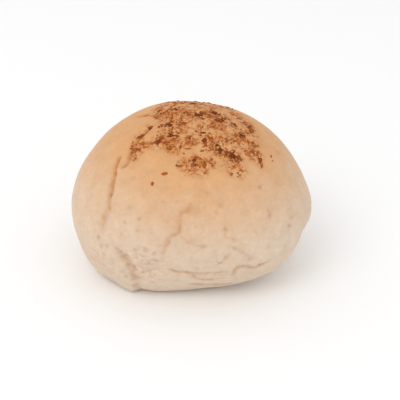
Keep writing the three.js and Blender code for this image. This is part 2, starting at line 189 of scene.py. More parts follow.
# Small tan pits in the skin, by tone: azimuth, lift, half width.
PITS = {
    0.15: [(-132.2, -9.5, 1), (-129.5, -14.5, 1), (-140, -8.8, 0.9)],
    0.2: [(-121, 23, 0.9), (-97, 30, 0.5), (-88, 11, 0.8), (-42, 1, 0.7), (-123, -12, 0.8),
          (-127, -6, 0.8), (-105.8, -2, 0.8), (-109.5, -14.2, 0.8), (-108.8, -18.2, 0.7),
          (-116, 0.5, 0.6), (-113, -4.5, 0.6), (-112, -10.5, 0.7)],
    0.22: [(-119.5, -8.5, 1), (-119, -12, 1.1)],
    0.25: [(-122, 10, 0.6), (-105, 29, 0.6), (-89, 29, 0.6), (-79, 34.5, 0.8), (-75, 24.5, 0.8),
           (-48, 18, 0.8), (-86, 18, 0.6), (-67.5, 10.5, 0.7), (-82, 7.5, 0.9), (-67, 5.5, 0.7),
           (-51, 4, 0.7), (-60, -1, 0.9), (-73.5, -2.5, 0.8), (-85, -6.5, 0.8), (22, -10, 0.8),
           (80, 22, 0.7), (-119.5, -10, 0.7), (-116.5, -9.3, 0.6), (-119.5, -17.5, 0.9),
           (-118.5, -24, 0.9), (-110.8, 4, 0.8), (-117.5, -10, 1), (-120.5, -23.5, 0.8)],
    0.28: [(-117, -15.5, 2.2)],
    0.3: [(-129, 2, 0.6), (-115, 13.5, 0.6), (-111, 5, 0.7), (-109, -18, 0.7), (-72, 27.5, 1),
          (-36, 13, 0.6), (-71, 1, 0.9), (150, 8, 0.7), (170, -4, 0.7), (120, 14, 0.8), (64, 12, 0.8),
          (38, 4, 0.7), (10, 8, 0.7), (-8, -6, 0.8), (132, -9, 0.7), (-124, 2, 0.9), (-119.5, -6.6, 0.8),
          (-117, -7, 0.6), (-131, -3, 0.7), (-110, -2.2, 0.7), (-122, -15.2, 0.9), (-118.5, -5.8, 0.8),
          (-119, -22.8, 1), (-13, 38.5, 0.8), (-120, -0.5, 0.9), (-115.5, 3.5, 0.7), (-112.5, -2.5, 0.7),
          (-110, 4.5, 0.8), (-107, -1.5, 0.8), (-106.5, 2.5, 0.7)],
    0.35: [(-121.5, 16, 0.6), (-115, 19, 0.7), (-106.5, 3, 0.6), (-122, -15, 0.8), (-71, 16, 0.9),
           (95, 2, 0.6), (-117.5, -8.2, 1.2), (-122.5, 0.5, 1.1), (-109.5, -3.5, 0.8), (-113, -11, 0.8)],
    0.4: [(-132, 1, 0.7), (-121.5, -2, 1.3)],
    0.45: [(-38.5, 10, 0.8), (-47.5, 31.5, 0.8)],
    0.5: [(-133.5, 5, 0.7)],
    0.55: [(-133.3, 25.3, 0.7)],
}
PIT_DEPTH = 0.3

# Layers of noise on the crust: wave in millimetres, which may differ along the axes, rise and seed. Rises
# are in degrees for the outlines and the bake, in millimetres for the wander, the crumb and the skin, and
# plain numbers for the rest.
LAYERS = {
    "crease_wander": [(2.2, 0.35, 41)],
    "groove_depth": [(3.1, 0.4, 43)],
    "brown_patches": [(2.4, 1.2, 95)],
    "tear_outline": [(4, 3, 61), (1.7, 1.5, 62)],
    "fine_crumb": [((1.8, 1.8, 2.2), 0.14, 31)],
    "skin": [(9, 0.16, 20), (4.2, 0.1, 15.2), (1.9, 0.045, 12.9)],
    "network_lines": [((7, 7, 3.6), 1, 51)],
    "network_patches": [(6, 1.2, 52)],
    "stain_outline": [(3, 1.2, 5)],
    "bake": [(14, 3.2, 14), (5, 3.8, 5), (2.6, 3.5, 2.6)],
}

# Relief of the skin: the lifts between which it grows, its share at the crown, and the network of fine
# wrinkles.
SMOOTH_ABOVE = 24
ROUGH_BELOW = -6
SKIN_AT_CROWN = 0.3
NETWORK = {"half": 0.1, "depth": 0.28, "brown": 0.1}

# The bake turns golden over a range of lifts above its start. Below its own start, painted light turns
# the skin paler and greyer, lightening the low skin where the floor shades it. Spots of either: azimuth,
# lift, spread in degrees and strength. The tray's brown ends at a height in millimetres.
BAKE = {"start": -1.5, "range": 54, "spots": [(-90, 17, 18, 5), (-62, 20, 15, 4.5), (-6, 8, 16, -8)]}
# Painted light: paler, greyer skin low on the side and in a spot low on the front right.
PALE_BASE_LIGHT = {"start": -9, "range": 12, "spots": [(-38, -6, 17, 1)]}
BASE_BROWN = 0.6

# Clumps of flakes: arc in degrees east and north of the crown, half extents in degrees, number of flakes.
# Those without flakes only stain the skin.
CLUMPS = np.array([
    (0, 11, 6, 4, 8), (-11, 11, 5, 4, 4), (-17, 7, 3, 4, 2), (12, 9, 2, 3, 2), (26, 8, 3, 5, 4),
    (-8, 3, 4, 5, 6), (-16, -1, 3, 5, 5), (4, -5, 5, 3, 8), (-5, -5, 4, 3, 5), (14, -4, 5, 5, 11),
    (-12, -7, 4, 3, 4), (-10, -14, 5, 4, 7), (-4, -13, 3, 3, 3), (-10, -23, 6, 4, 9),
    (-17, -26, 3, 2.5, 2), (-8, -30, 4, 3, 5), (7, -14, 3, 2, 2), (7, -21, 3, 1.5, 2),
    (10, -25, 2.5, 3, 3), (1, -26, 3, 2.5, 3), (15, -13, 3, 3, 4), (15, -26, 4, 2.5, 3),
    (20, -22, 4, 2, 3), (28, -19, 5, 1.5, 4), (16, -30, 4, 2.5, 4), (22.3, -31.6, 5, 2.5, 7),
    (28, -15, 3, 4, 4), (33, -2, 3, 7, 5), (24, -7, 1, 1.5, 1), (34, -23, 3, 5, 5),
    (39, -27.5, 1, 3.5, 2), (-30.5, -27, 1.2, 4, 5), (-24, -26, 3, 1.5, 3), (-3, -39.5, 3.5, 2, 2),
    (3.5, -39, 3.5, 3, 3), (10.5, -38.5, 3.5, 2, 2), (4, -43, 6, 2, 2), (26, -39, 4, 3, 2),
    (3, 22, 8, 5, 8), (-12, 20, 6, 5, 5), (17, 18, 6, 4, 6), (0, 1, 19, 13, 0), (1, -1, 18, 12, 0),
    (6, -22, 26, 9, 0), (-28, -22, 2.5, 6, 0), (33, -12, 5, 15, 0), (-24, -13, 2.5, 2, 0),
    (23, -2, 5, 7, 0), (24, -38, 4, 3.5, 0), (13, -37, 5, 2, 0),
])

# How far out flakes lie, in half extents of their clump. A clump's stain spreads so many degrees beyond it
# and grows with each flake, from the faintest to the strongest; the skin takes a share of it.
CLUMP_EDGE = 1.2
STAIN = {"spread": 2, "faintest": 0.4, "each": 1 / 12, "strongest": 0.9, "share": 0.9}

# Flakes: width as a share of length, tilt in radians and height above the crust in millimetres. Their
# shape: how uneven it is, its corners, what divides the sum of two for the notch between them, how jagged
# the rim is, how far its two rings slope from upright in degrees, and how ragged their heights are.
FLAKE_WIDTH = (0.35, 0.75)
FLAKE_TILT = 0.2
FLAKE_PROUD = -0.12
FLAKE_UNEVENNESS = 0.3
FLAKE_SIDES = 6
FLAKE_NOTCH = 2.3
FLAKE_JAG = (0.65, 1.2)
FLAKE_SLOPES = (60, 108)
FLAKE_RAGGED = (0.6, 1.4)
FLAKE_SEED = 7

# Flakes that lie by themselves: arc east and north, length and width in millimetres, turn in degrees. They
# share one lightness.
LONE_FLAKES = np.array([
    (-13.7, -44.6, 3.6, 1.9, -8), (-21, -49, 1.5, 1.3, 40), (38.8, -27, 3.8, 1.6, 97),
    (45.4, -19.5, 1.7, 0.8, 80), (46, -22.5, 1.2, 0.7, 60), (23.6, -41.8, 1.6, 1.1, 60),
    (-27, -18.6, 4.2, 1.7, 25), (-21.6, -13.3, 3, 1.3, 15), (-5.2, -40.9, 3.2, 1.1, 5),
    (-1, -30.9, 2.9, 0.7, 0), (12.4, -38.6, 1.8, 0.9, -15), (23.6, -31.2, 3.8, 2.4, -20),
    (17, -29.6, 3, 1.5, 10), (15, -29.8, 1.8, 1.1, 0), (20.5, -30, 2.6, 1.6, 20),
    (25.8, -31.8, 2, 1.3, -30), (8, -24.8, 2.8, 2.3, 80), (14.8, -27.2, 2.4, 1.2, 60),
    (7, -20, 2.6, 1, 0), (7, -31.5, 1.9, 1.4, 20), (0, -24.2, 1.6, 1.1, 90), (-10, -22.6, 2.3, 1.4, 20),
    (-17, -26, 3.2, 1.6, 25), (-14.6, -23.6, 2.2, 1.2, 40), (-9, -27, 1.8, 1.1, 100),
    (2.7, -37.4, 1.9, 1.3, 0), (3.8, -40, 2.2, 1.1, -20), (-11, -14.3, 2.8, 1.6, -20),
    (-9.5, -17.5, 2, 1, 90), (13.5, -0.3, 3.6, 1.8, 15), (16.5, -7.8, 2.6, 1.5, -40),
    (4.5, -5.5, 3, 1.8, 0), (24, -6.5, 1.8, 1.1, 70), (33, -2, 4, 1.4, 80), (28, -14.8, 2.4, 1.8, 20),
    (-29.6, -27, 2.4, 1, 75), (-25, -25.2, 1.8, 1, 60), (-20.6, -26, 1.7, 0.8, 10), (1, 10.8, 3, 1.6, 0),
    (-8.5, 1.5, 2.6, 1.5, 90), (1.5, -40.5, 1.8, 1, 60), (10.7, -37.5, 1.9, 1.2, 20),
    (-3, -38.7, 1.6, 1, 40), (0.4, -43.5, 1.6, 1.1, 0), (9, -44.1, 1.6, 1.1, 70),
    (24.5, -37.5, 1.7, 1, 30), (28.6, -38.6, 1.9, 0.9, 10), (27, -40.3, 1.6, 1, 80),
    (39.8, -30.2, 2.4, 1.1, 100), (-26.2, -24.4, 2.4, 1.3, 30), (-17.2, -24.8, 2.2, 1.5, 10),
    (-21.4, -15, 2.4, 0.9, 20),
])
LONE_FLAKE_LIGHT = 0.35

# Crumbs and grains: shards with uneven rims and points, some of which stray out of their clumps. How proud
# they are, in shares of their height, falls northwards over some degrees. Then each kind's seed,
# how far out it lies in half extents of its clump, and its slimmest width as a share of its length.
SHARD = {
    "sides": 6, "rim": (0.65, 1.25), "point": (0.7, 1.3), "flatness": (0.45, 0.8), "stray": 0.7,
    "proud": (0.05, -0.35), "sinks_from": -2, "sinks_over": 12,
}
CRUMBS = {"seed": 17, "edge": 1.35, "slimmest": 0.4}
GRAINS = {"seed": 29, "edge": 1.2, "slimmest": 0.6}

# Where the topping is darkest: arc east and north, spread, all in degrees. Then how much of a piece's
# lightness is lost there, and the range of that lightness.
DARK_CORES = np.array([
    (23.3, -31.2, 3.8), (17.2, -29.6, 2.8), (14.8, -27.2, 2), (8.6, -24.4, 2.2), (-9.8, -22.8, 3),
    (-16, -25.5, 2.5), (14, -0.6, 4.2), (18, -7, 3.5), (4, -5, 4), (0, 11.5, 4), (-27.8, -19.4, 1.5),
    (2.7, -37.4, 1.2), (33, -2, 3), (-17, -3.5, 2), (38.9, -25.5, 2.2), (-8.5, 1.5, 2.5),
    (-11, -14.5, 2.5), (7, -20, 1.5), (28, -14.8, 2), (24, -6.5, 2), (0, -24.2, 1.5), (5, 22, 5),
    (3, -40, 1), (-21.4, -15, 1.8),
])
CORE_DARKNESS = 0.87
TOAST_RANGE = (0.3, 1)

# Grains of the crust's colours: wave in millimetres and contrast.
CRUST_GRAINS = {
    "mottle": (5, 0.06), "speckle": (1.6, 0.06), "crumb": (1.7, 0.22), "streak": (1.8, 0.6),
    "patch": (3.2, 1.5),
}
BUMP_STRENGTH = 0.5

# The ball of directions: cells along each side of its six faces, where it is finer, and how far and from
# how many millimetres away its corners are drawn to the creases.
BALL_CELLS = 128
FINER_TOWARD = (-105, 10)
FINER_BY = 0.25
FINER_PULL = 0.5
FINER_WITHIN = 2.2

# The stage, in metres, and the lens and sensor in millimetres.
FLOOR_HALF = 4
LAMP = {"place": (-0.35, -0.45, 0.6), "aim": (0, 0, 0.03), "size": 0.5}
LENS = 90
SENSOR = 36
NEAREST_SEEN = 0.01


def colour_prop(name, description, *display):
    """A colour setting whose default is given in display values from 0 to 255."""
    shares = np.array(display) / 255
    linear = np.where(shares <= 0.04045, shares / 12.92, ((shares + 0.055) / 1.055) ** 2.4)
    return bpy.props.FloatVectorProperty(
        name=name, description=description, default=(*linear, 1), subtype="COLOR", size=4, min=0, max=1
    )


def number_prop(name, description, default, least=0, **settings):
    """A number setting with a least value."""
    settings = {"name": name, "description": description, "default": default, "min": least, **settings}
    return bpy.props.FloatProperty(**settings)


def length_prop(name, description, default):
    """A length setting in metres."""
    return number_prop(name, description, default, unit="LENGTH", precision=5)


def count_prop(name, description, default):
    """A whole number setting."""
    return bpy.props.IntProperty(name=name, description=description, default=default, min=0)


class RollShape(bpy.types.PropertyGroup):
    """Sizes of the roll itself."""

    width: length_prop("Width", "From the left side to the right side", roll_size.x)
    depth: length_prop("Depth", "From the front to the back", roll_size.y)
    height: length_prop("Height", "From the base to the crown", roll_size.z)
    creases: number_prop("Creases", "Share of the creases' full depth", 1, max=2, subtype="FACTOR")
    skin: number_prop("Skin", "Share of the skin's full relief", 1, max=3, subtype="FACTOR")


class RollTopping(bpy.types.PropertyGroup):
    """Sizes and numbers of the flakes, crumbs and grains."""

    flake_shortest: length_prop("Shortest flake", "Length of the shortest flake", 1.1 * MM)
    flake_longest: length_prop("Longest flake", "Length of the longest flake", 3.2 * MM)
    flake_thickness: length_prop("Flake thickness", "Thickness of a flake, half of it sunk", 0.9 * MM)
    crumb_smallest: length_prop("Smallest crumb", "Length of the smallest crumb", 0.3 * MM)
    crumb_largest: length_prop("Largest crumb", "Length of the largest crumb", 1.4 * MM)
    crumbs_each: count_prop("Crumbs", "Crumbs to each flake", 10)
    grain_smallest: length_prop("Smallest grain", "Length of the smallest grain", 0.4 * MM)
    grain_largest: length_prop("Largest grain", "Length of the largest grain", 0.9 * MM)
    grains_each: count_prop("Grains", "Pale grains to each flake", 1)


class RollColours(bpy.types.PropertyGroup):
    """Colours of the crust and the topping."""

    crown: colour_prop("Crown", "Golden skin round the crown", 212, 160, 110)
    belly: colour_prop("Belly", "Cream skin low on the side", 215, 191.5, 167)
    # Painted light: paler, greyer skin near the base, lightening where the floor shades it.
    painted_light_colour: colour_prop("Paler", "Floury skin near the base", 217, 197.5, 176)
    stain_light: colour_prop("Light stain", "Palest stained skin", 217, 155, 94)
    stain: colour_prop("Stain", "Stained skin between the flakes", 195, 122, 64)
    stain_dark: colour_prop("Dark stain", "Darkest stained skin", 140, 74, 36)
    fold: colour_prop("Fold", "Skin deep in a fold", 178, 106, 34)
    pit: colour_prop("Pit", "Small pits in the skin", 158, 106, 58)
    torn: colour_prop("Torn", "Crumb in the tear", 214, 189, 166)
    tray: colour_prop("Tray", "Base, browned on the tray", 196, 148, 98)
    toast_dark: colour_prop("Darkest toast", "Darkest flakes", 98, 40, 10)
    toast_mid: colour_prop("Middle toast", "Middling flakes", 168, 92, 42)
    toast_tan: colour_prop("Light toast", "Lightest flakes", 216, 148, 88)
    grain: colour_prop("Grain", "Pale grains", 224, 174, 136)


class RollStage(bpy.types.PropertyGroup):
    """The floor, the lights and the camera."""

    floor: colour_prop("Floor", "Plain floor", 250, 250, 250)
    lift: number_prop("Camera lift", "Angle of the camera above level", math.radians(30), subtype="ANGLE")
    tilt: number_prop(
        "Camera tilt", "Turn about the line of sight", math.radians(1.679), -math.pi, subtype="ANGLE"
    )
    distance: length_prop("Camera distance", "From the camera to the middle of the base", 0.4)
    right: length_prop("Camera right", "Sideways place of the camera", 4.332 * MM)
    up: length_prop("Camera up", "Upward place of the camera", 20.052 * MM)
    surround: number_prop("Surround", "Strength of the even light", 0.94)
    key: number_prop("Key", "Power of the main light", 1.35, unit="POWER")


def direction(azimuth, lift):
    """Unit vectors: (cos lift cos azimuth, cos lift sin azimuth, sin lift)."""
    azimuth, lift = np.radians(azimuth), np.radians(lift)
    level = np.cos(lift)
    return np.stack([level * np.cos(azimuth), level * np.sin(azimuth), np.sin(lift)], axis=-1)


def lift_of(toward):
    """Lift in degrees of unit vectors: the arc sine of their height."""
    return np.degrees(np.arcsin(np.clip(toward[..., 2], -1, 1)))


def bell(x):
    """exp(-x squared): 1 at 0, and near 0 beyond 2."""
    return np.exp(-x * x)


def smooth(x):
    """3x^2 - 2x^3 between 0 and 1, level outside."""
    x = np.clip(x, 0, 1)
    return x * x * (3 - 2 * x)


def between(low, high, share):
    """The value at a share of the way from low to high."""
    return low + (high - low) * share


def draw(number, which, seed):
    """A draw from 0 to 1 for a number and which of its draws it is: the fraction of a large sine."""
    value = 43758.5453 * np.sin(12.9898 * number + 78.233 * which + seed)
    return value - np.floor(value)


def noise(place, seed):
    """Smooth noise from -1 to 1: a draw for each corner of a unit lattice, blended across each cell."""
    cell = np.floor(place)
    share = smooth(place - cell)
    total = np.zeros(place.shape[:-1])
    for corner in np.ndindex(2, 2, 2):
        weight = np.where(corner, share, 1 - share).prod(axis=-1)
        total += weight * (2 * draw((cell + corner) @ (1, 57, 113), 0, seed) - 1)
    return total


def layered(toward, name):
    """Sum of a named set of layers of noise on the crust, each with its own wave, rise and seed."""
    return sum(rise * noise(toward * ARC_RADIUS / wave, seed) for wave, rise, seed in LAYERS[name])


def angle_between(toward, azimuth, lift):
    """Angle in degrees from each unit vector to one direction: the arc cosine of their product."""
    return np.degrees(np.arccos(np.clip(toward @ direction(azimuth, lift), -1, 1)))


def unit(vectors):
    """Vectors divided by their lengths."""
    return vectors / np.linalg.norm(vectors, axis=-1, keepdims=True)


def spots(toward, rows):
    """Sum of spots, each its rise times a bell of the angle to its middle over its spread."""
    return sum(
        rise * bell(angle_between(toward, azimuth, lift) / spread) for azimuth, lift, spread, rise in rows
    )


def dough_reach(toward, shape):
    """Distance from the heart to the plain dough, in metres. In plan it is an oval whose radius has low
    waves of three and four lobes; in height an oval between that radius and the rise or drop. It is fuller
    or flatter by sin^2 of twice the lift, less a bell round the side for a shallow waist."""
    azimuth = np.arctan2(toward[..., 1], toward[..., 0])
    level = np.hypot(toward[..., 0], toward[..., 1])
    waves = 1 + sum(rise * wave(lobes * azimuth) for lobes, wave, rise in PLAN_WAVES)
    half_width, half_depth = HALF_WIDTH * shape.width, HALF_DEPTH * shape.depth
    plan = waves / np.hypot(np.cos(azimuth) / half_width, np.sin(azimuth) / half_depth)
    upper = toward[..., 2] >= 0
    rise = np.where(upper, CROWN_RISE, BELLY_DROP) * shape.height
    fullness = np.where(upper, CROWN_FULLNESS, BELLY_LEAN * np.cos(azimuth))
    oval = 1 / np.hypot(level / plan, toward[..., 2] / rise)
    lift = np.arctan2(toward[..., 2], level)
    waist = WAIST["depth"] * MM * bell((np.degrees(lift) - WAIST["lift"]) / WAIST["spread"])
    return oval * (1 + fullness * np.sin(2 * lift) ** 2) - waist


def crease_curve(line):
    """Points of a Catmull-Rom curve through a crease's knots, on the unit ball: on each span the cubic
    that leaves and meets its two knots along the chord of their neighbours."""
    knots = direction(*np.transpose(line))
    knots = np.concatenate([2 * knots[:1] - knots[1:2], knots, 2 * knots[-1:] - knots[-2:-1]])
    before, start, end, after = (knots[i : len(knots) - 3 + i, None] for i in range(4))
    t = np.linspace(0, 1, CREASE_STEPS, endpoint=False)[:, None]
    spans = start + (end - before) * t / 2
    spans = spans + (2 * before - 5 * start + 4 * end - after) * t**2 / 2
    spans = spans + (3 * start - before - 3 * end + after) * t**3 / 2
    return unit(np.concatenate([spans.reshape(-1, 3), knots[-2:-1]]))


def place_by_crease(toward, line):
    """Each direction's place beside a crease: signed distance in millimetres, above 0 to the right of the
    way down; how far along it lies, from 0 to 1; and the step to it from the nearest point of the curve's
    straight pieces. The side is the sign of the step's triple product with the direction and the piece."""
    points = crease_curve(line) * ARC_RADIUS
    start, piece = points[:-1], np.diff(points, axis=0)
    place = toward[:, None] * ARC_RADIUS - start
    share = np.clip((place * piece).sum(axis=-1) / (piece * piece).sum(axis=-1), 0, 1)
    step = place - share[..., None] * piece
    gap = np.linalg.norm(step, axis=-1)
    nearest = gap.argmin(axis=-1)
    near = (np.arange(len(toward)), nearest)
    side = np.sign((step[near] * np.cross(toward, piece[nearest])).sum(axis=-1))
    return gap[near] * side, (nearest + share[near]) / len(piece), step[near]


def near_crease(toward, line):
    """True for the directions within a crease's reach of one of its knots."""
    knots = direction(*np.transpose(line))
    return (toward @ knots.T).max(axis=-1) > np.cos(np.radians(CREASE_REACH))


def crease_section(toward, crease):
    """Rise in millimetres and brown tone beside one crease. The groove and its trough are bells of the
    distance, wider on the soft left side, with a low bell for a lip on the right. Noise moves the line and
    varies the depth and tone, and all narrows and dies out at the two ends."""
    away, along, _ = place_by_crease(toward, crease.line)
    away = away + layered(toward, "crease_wander")
    fade = smooth(along / CREASE_FADE) * smooth((1 - along) / CREASE_FADE)
    taper = between(CREASE_TAPER, 1, fade)

    def profile(left, right):
        return bell(away / (taper * np.where(away > 0, right, left)))

    trough_depth, *trough = crease.trough
    groove = crease.depth * (1 + layered(toward, "groove_depth")) * profile(*crease.half)
    lip = crease.lip * bell(away / crease.half[1] - LIP_PLACE)
    rise = fade * (lip - groove - trough_depth * profile(*trough))
    patches = between(*BROWN_RANGE, smooth(0.5 + layered(toward, "brown_patches")))
    return rise, fade * crease.tone * patches * profile(*crease.flush)


def crease_relief(toward, amount):
    """Rise in metres and brown tone of all the creases: the sum of their rises, and the strongest tone."""
    rise, tone = np.zeros(toward.shape[:-1]), np.zeros(toward.shape[:-1])
    for crease in CREASES:
        near = near_crease(toward, crease.line)
        if near.any():
            crease_rise, crease_tone = crease_section(toward[near], crease)
            rise[near] += amount * MM * crease_rise
            tone[near] = np.maximum(tone[near], crease_tone)
    return rise, tone


def tear_share(toward):
    """1 well inside the tear and 0 outside: a bell of the square of the angle from its middle and noise."""
    angle = angle_between(toward, TEAR["azimuth"], TEAR["lift"]) + layered(toward, "tear_outline")
    return bell((angle / TEAR["spread"]) ** 2)


def tear_rise(toward):
    """The tear's recess, with a floor of crumb: products of sines along three axes, and finer noise."""
    x, y, z = np.moveaxis(toward * ARC_RADIUS * 2 * np.pi / CRUMB_WAVE, -1, 0)
    lumps = np.sin(x + 1.3 * np.sin(0.8 * z)) * np.sin(1.1 * z + 0.7)
    lumps = lumps + 0.6 * np.sin(1.7 * x - 0.9 * z) * np.cos(1.5 * z + 1.1 * y)
    floor = TEAR["roughness"] * lumps + layered(toward, "fine_crumb") - TEAR["depth"]
    return MM * tear_share(toward) * floor


def low_share(toward):
    """0 round the crown, rising smoothly to 1 low on the side."""
    return smooth((SMOOTH_ABOVE - lift_of(toward)) / (SMOOTH_ABOVE - ROUGH_BELOW))


def network_share(toward):
    """How deep in the network of fine wrinkles each direction lies: bells round the lines where slow
    noise crosses 0, kept where another noise is high."""
    lines = bell(layered(toward, "network_lines") / NETWORK["half"])
    return low_share(toward) * lines * smooth(0.5 + layered(toward, "network_patches"))


def skin_rise(toward, amount):
    """Layers of noise, weak round the crown and full low on the side, less the network of wrinkles."""
    relief = between(SKIN_AT_CROWN, 1, low_share(toward)) * layered(toward, "skin")
    return amount * MM * (relief - NETWORK["depth"] * network_share(toward))


def pit_tone(toward):
    """How deep in a pit each direction lies, as its tone: the largest of the pits' bells."""
    tone = np.zeros(toward.shape[:-1])
    for deepest, pits in PITS.items():
        for azimuth, lift, half in pits:
            away = np.radians(angle_between(toward, azimuth, lift)) * ARC_RADIUS
            tone = np.maximum(tone, deepest * bell(away / half))
    return tone


def crust_places(toward, shape):
    """Places on the crust in metres, from the middle under the heart: each direction times its reach, the
    dough's with all relief. Above the widest line they lean by the square of their height. Below it, a
    smooth minimum holds them to the floor: half of a + b - sqrt((a - b)^2 + rounding^2)."""
    relief, _ = crease_relief(toward, shape.creases)
    relief = relief + MM * (spots(toward, SWELLS) - PIT_DEPTH * pit_tone(toward))
    reach = dough_reach(toward, shape) + relief + tear_rise(toward) + skin_rise(toward, shape.skin)
    widest = WIDEST_HEIGHT * shape.height
    to_floor = widest / np.maximum(-toward[..., 2], 1e-3)
    rounding = BASE_ROUNDING * MM
    reach = (reach + to_floor - np.sqrt((reach - to_floor) ** 2 + rounding**2)) / 2
    places = toward * reach[..., None]
    lean = (np.maximum(places[..., 2], 0) / (CROWN_RISE * shape.height)) ** 2
    places = places + lean[..., None] * MM * (*CROWN_SHIFT, 0) + (0, 0, widest)
    places[..., 2] = np.maximum(places[..., 2], 0)
    return places


def ball_of_directions():
    """Unit directions and the faces of a closed ball. Each of a cube's six faces is a square grid, spread
    evenly in angle by the tangent; shared edges are merged; and all is moved a little towards one side and
    brought back to length 1, which makes that side finer."""
    row = BALL_CELLS + 1
    steps = np.tan(np.linspace(-np.pi / 4, np.pi / 4, row))
    across, along = np.meshgrid(steps, steps, indexing="ij")
    first = (np.arange(BALL_CELLS)[:, None] * row + np.arange(BALL_CELLS)).ravel()
    square = np.stack([first, first + row, first + row + 1, first + 1], axis=-1)
    sides = [
        np.stack(np.roll([sign * np.ones_like(across), sign * across, along], axis, axis=0), axis=-1)
        for axis in range(3)
        for sign in (1, -1)
    ]
    faces = np.concatenate([square + i * row * row for i in range(len(sides))])
    corners = np.reshape(sides, (-1, 3))
    _, kept, merged = np.unique(np.round(corners, 9), axis=0, return_index=True, return_inverse=True)
    toward = unit(corners[kept]) + FINER_BY * direction(*FINER_TOWARD)
    return unit(toward), merged.reshape(-1)[faces]


def drawn_to_creases(toward):
    """Directions moved nearer to each crease by a share of the step from its nearest point that falls off
    as a bell of the step's length, so that the faces are finest in the creases."""
    for crease in CREASES:
        near = near_crease(toward, crease.line)
        _, _, step = place_by_crease(toward[near], crease.line)
        pull = FINER_PULL * bell(np.linalg.norm(step, axis=-1, keepdims=True) / FINER_WITHIN)
        toward[near] -= pull * step / ARC_RADIUS
    return unit(toward)


def roll_middle(shape):
    """The middle of the roll's box in plan, from a grid of places round its widest line."""
    azimuth, lift = np.meshgrid(np.arange(-180, 180), np.arange(-24, 25, 2))
    places = crust_places(direction(azimuth, lift), shape).reshape(-1, 3)
    return (places.min(axis=0) + places.max(axis=0)) / 2 * (1, 1, 0)


def crown_direction(east, north):
    """The direction a given arc in degrees east and north of the crown."""
    return direction(np.degrees(np.arctan2(north, east)), 90 - np.hypot(east, north))


def stain_share(toward):
    """How stained the skin is by the topping: one less the product of what each clump leaves clear, where
    a clump stains a bell of the elliptical distance from its middle, more strongly the fuller it is."""
    azimuth = np.arctan2(toward[..., 1], toward[..., 0])
    arc, wander = 90 - lift_of(toward), layered(toward, "stain_outline")
    east, north = arc * np.cos(azimuth) + wander, arc * np.sin(azimuth) - wander
    clear = np.ones(toward.shape[:-1])
    for clump_east, clump_north, half_east, half_north, count in CLUMPS:
        across = (east - clump_east) / (half_east + STAIN["spread"])
        along = (north - clump_north) / (half_north + STAIN["spread"])
        strength = min(STAIN["strongest"], STAIN["faintest"] + STAIN["each"] * count)
        clear *= 1 - strength * bell(across**2 + along**2)
    return 1 - clear


def toast_share(east, north, drawn):
    """How light a piece of topping is, from 0, darkest, to 1: its own draw, less near a dark core."""
    apart = np.hypot(east[:, None] - DARK_CORES[:, 0], north[:, None] - DARK_CORES[:, 1])
    cores = bell(apart / DARK_CORES[:, 2]).max(axis=-1)
    return between(*TOAST_RANGE, drawn) * (1 - CORE_DARKNESS * cores)


def bake_share(toward):
    """How golden the skin is: a smooth step of the lift, moved by spots and noise, from 0 low on the side
    to 1 round the crown."""
    lift = lift_of(toward) + spots(toward, BAKE["spots"]) + layered(toward, "bake")
    return smooth((lift - BAKE["start"]) / BAKE["range"])


def painted_light_share(toward):
    """How much painted light pales and greys the skin: a smooth step of the lift to 1 near the base, or a
    spot where that is more.
    """
    low = smooth((PALE_BASE_LIGHT["start"] - lift_of(toward)) / PALE_BASE_LIGHT["range"])
    return np.maximum(low, spots(toward, PALE_BASE_LIGHT["spots"]))


def make_piece(name, corners, faces, material, smooth_shaded):
    """A mesh object from corners and faces, riding on the roll and taking its finish from a slot."""
    old = bpy.data.objects.get(name)
    if old is not None:
        bpy.data.objects.remove(old)
    mesh = bpy.data.meshes.new(name)
    mesh.from_pydata(corners.reshape(-1, 3).tolist(), [], faces.tolist())
    if mesh.validate():
        raise RuntimeError(f"{name} has faulty faces")
    mesh.polygons.foreach_set("use_smooth", np.full(len(mesh.polygons), smooth_shaded))
    mesh.materials.append(material)
    mesh.update()
    piece = bpy.data.objects.new(name, mesh)
    bpy.context.scene.collection.objects.link(piece)
    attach(piece, "root")
    return piece


def set_share(piece, name, values):
    """Stores one value for each of a piece's corners, for its material to read."""
    attribute = piece.data.attributes.new(name, "FLOAT", "POINT")
    attribute.data.foreach_set("value", values.astype(np.float32))


def lay_on_crust(chips, east, north, proud, shape):
    """Chips of shape (count, corners, 3) laid on the crust at arcs east and north of the crown, each on the
    basis of the crust's eastward step, its upward normal and their product."""
    seat = crust_places(crown_direction(east, north), shape)
    eastward = unit(crust_places(crown_direction(east + 1, north), shape) - seat)
    northward = crust_places(crown_direction(east, north + 1), shape) - seat
    upward = unit(np.cross(eastward, northward))
    basis = np.stack([eastward, np.cross(upward, eastward), upward], axis=1)
    return chips @ basis + (seat + upward * proud[:, None] - roll_middle(shape))[:, None]


def turned(chips, *angles):
    """Chips turned about their own x, y and z axes in that order, by arrays of angles."""
    place = list(np.moveaxis(chips, -1, 0))
    for axis, angle in enumerate(angles):
        i, j = (axis + 1) % 3, (axis + 2) % 3
        level, steep = np.cos(angle)[:, None], np.sin(angle)[:, None]
        place[i], place[j] = place[i] * level - place[j] * steep, place[i] * steep + place[j] * level
    return np.stack(place, axis=-1)


def chip_faces(sides, rings, count):
    """Faces of chips that are each a pole, some rings of corners and another pole, facing outwards: two
    triangles for each square between two rows of corners, less those of no area at the poles."""
    rows = 1 + np.arange(-sides, (rings + 1) * sides).clip(-1, rings * sides).reshape(-1, sides)
    beside = np.roll(rows, -1, axis=1)
    squares = [rows[:-1], rows[1:], beside[1:], rows[:-1], beside[1:], beside[:-1]]
    faces = np.stack(squares, axis=-1).reshape(-1, 3)
    faces = faces[(faces != np.roll(faces, 1, axis=1)).all(axis=1)]
    return (np.arange(count)[:, None, None] * (sides * rings + 2) + faces).reshape(-1, 3)


def clump_arcs(clumps, way, out, edge):
    """Arcs east and north of pieces in their clumps: a share of a turn round the clump, and out by shares
    of its half extents whose square root spreads them evenly."""
    apart, angle = edge * np.sqrt(out), 2 * np.pi * way
    east = clumps[:, 0] + clumps[:, 2] * apart * np.cos(angle)
    return east, clumps[:, 1] + clumps[:, 3] * apart * np.sin(angle)


